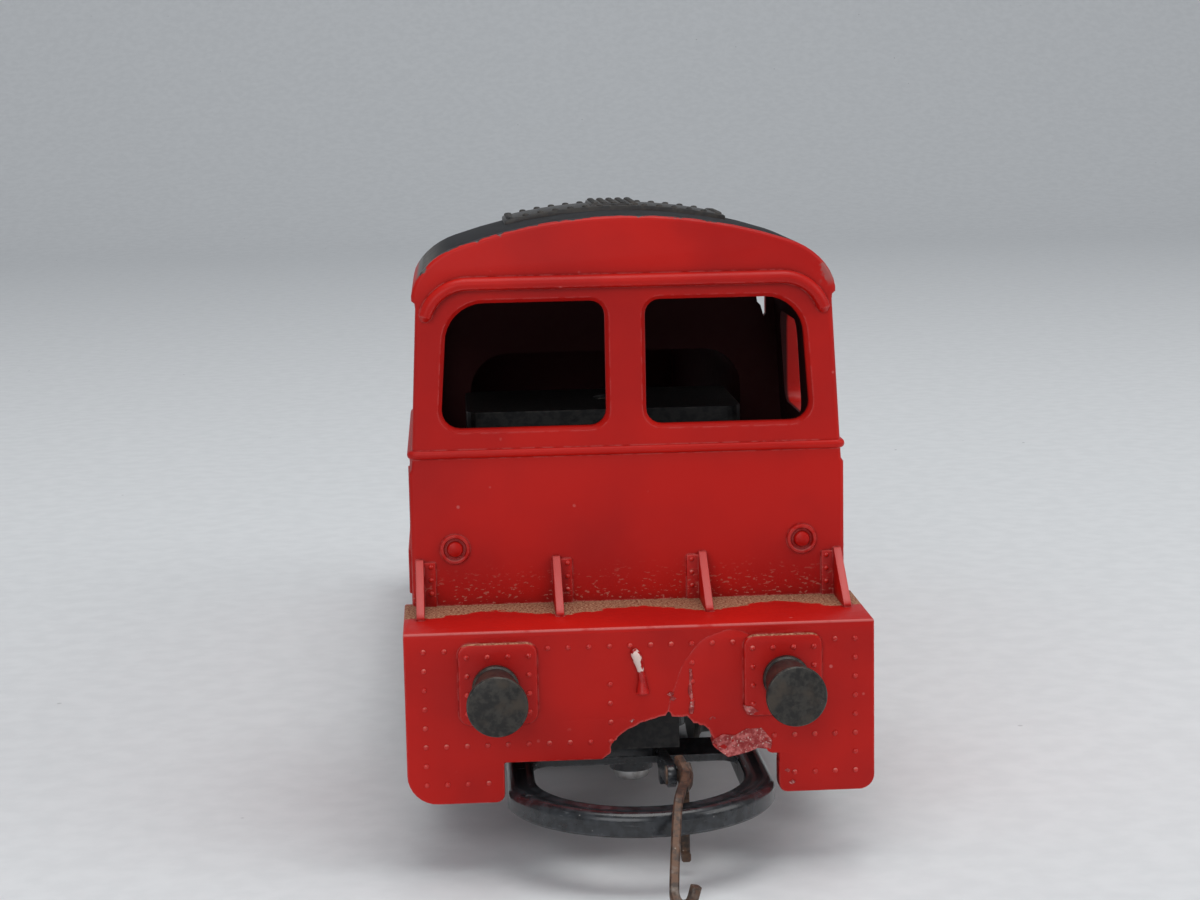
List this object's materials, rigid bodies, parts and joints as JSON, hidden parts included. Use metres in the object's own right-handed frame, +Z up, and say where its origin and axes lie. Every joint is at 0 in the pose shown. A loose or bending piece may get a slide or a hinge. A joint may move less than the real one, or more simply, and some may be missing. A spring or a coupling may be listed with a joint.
{
  "type": "model diesel locomotive",
  "caption": "Model diesel shunter with a rear cab, long bonnet, wheels linked by side rods, worm-drive motor, round buffers and loop-and-hook couplings.",
  "frame": {"origin": "on the surface under the wheel flanges, below the middle of the locomotive", "axes": "+Z up, +Y towards the bonnet end, +X to the right seen from behind the cab"},
  "size_m": [0.037, 0.1434, 0.0516],
  "materials": {
    "red_plastic": "moulded, worn satin gloss",
    "dark_steel": "oxidised turned steel",
    "black_casting": "black painted casting",
    "black_plastic": "moulded black, slightly glossy",
    "rusty_steel": "rusty strip steel",
    "bright_steel": "plated",
    "brass": "machined",
    "copper": "copper wire and segments",
    "carbon": "pressed carbon",
    "ceramic": "dipped ceramic",
    "black_insulation": "insulated wire",
    "red_insulation": "insulated wire"
  },
  "bodies": {
    "chassis": {"body_shell": "red_plastic", "buffer_rear_left": "dark_steel", "buffer_rear_right": "dark_steel", "buffer_front_left": "dark_steel", "buffer_front_right": "dark_steel", "chassis_frame": "black_casting", "keeper_plate": "black_plastic", "keeper_screw_rear": "bright_steel", "keeper_screw_front": "bright_steel", "body_screw_rear": "bright_steel", "body_screw_front": "bright_steel", "ballast_weight": "black_casting", "ballast_screw": "dark_steel", "pole_piece_left": "dark_steel", "pole_piece_right": "dark_steel", "motor_magnet": "black_casting", "motor_bracket_rear": "bright_steel", "motor_bracket_front": "bright_steel", "motor_bearing_rear": "brass", "motor_bearing_front": "brass", "brush_holder": "black_plastic", "brush_left": "carbon", "brush_right": "carbon", "brush_spring": "bright_steel", "suppressor_capacitor": "ceramic", "pickup_left": "brass", "pickup_right": "brass", "motor_lead_left": "black_insulation", "motor_lead_right": "red_insulation", "coupling_bar_rear": "black_plastic", "hook_pin_rear": "bright_steel", "coupling_screw_rear": "bright_steel", "coupling_bar_front": "black_plastic", "hook_pin_front": "bright_steel", "coupling_screw_front": "bright_steel"},
    "rear_wheelset": {"axle_rear": "bright_steel", "wheel_rear_left": "dark_steel", "wheel_rear_right": "dark_steel", "crankpin_rear_left": "bright_steel", "crankpin_rear_right": "bright_steel", "worm_gear": "brass"},
    "front_wheelset": {"axle_front": "bright_steel", "wheel_front_left": "dark_steel", "wheel_front_right": "dark_steel", "crankpin_front_left": "bright_steel", "crankpin_front_right": "bright_steel"},
    "rod_left": {"coupling_rod_left": "bright_steel"},
    "rod_right": {"coupling_rod_right": "bright_steel"},
    "armature": {"motor_shaft": "bright_steel", "armature_core": "dark_steel", "armature_winding_1": "copper", "armature_winding_2": "copper", "armature_winding_3": "copper", "commutator": "copper", "worm": "bright_steel"},
    "hook_rear": {"coupling_hook_rear": "rusty_steel"},
    "hook_front": {"coupling_hook_front": "rusty_steel"}
  },
  "joints": [
    {"name": "rear_axle_spin", "type": "hinge", "parent": "chassis", "child": "rear_wheelset", "pos_m": [0, -0.02, 0.008], "axis": [1, 0, 0], "continuous": true},
    {"name": "front_axle_spin", "type": "hinge", "parent": "chassis", "child": "front_wheelset", "pos_m": [0, 0.02, 0.008], "axis": [1, 0, 0], "continuous": true},
    {"name": "rod_left_pin", "type": "hinge", "parent": "rear_wheelset", "child": "rod_left", "pos_m": [0, -0.0183, 0.00506], "axis": [1, 0, 0], "continuous": true},
    {"name": "rod_right_pin", "type": "hinge", "parent": "rear_wheelset", "child": "rod_right", "pos_m": [0, -0.01706, 0.0097], "axis": [1, 0, 0], "continuous": true},
    {"name": "armature_spin", "type": "hinge", "parent": "chassis", "child": "armature", "pos_m": [0, 0, 0.014], "axis": [0, 1, 0], "continuous": true},
    {"name": "hook_rear_lift", "type": "hinge", "parent": "chassis", "child": "hook_rear", "pos_m": [0.0031, -0.0572, 0.0077], "axis": [-1, 0, 0], "range_deg": [0, 30]},
    {"name": "hook_front_lift", "type": "hinge", "parent": "chassis", "child": "hook_front", "pos_m": [-0.0031, 0.0572, 0.0077], "axis": [1, 0, 0], "range_deg": [0, 30]}
  ],
  "couplings": [
    {"joint": "front_axle_spin", "follows": "rear_axle_spin", "ratio": 1},
    {"joint": "rod_left_pin", "follows": "rear_axle_spin", "ratio": -1},
    {"joint": "rod_right_pin", "follows": "rear_axle_spin", "ratio": -1},
    {"joint": "armature_spin", "follows": "rear_axle_spin", "ratio": 20}
  ]
}
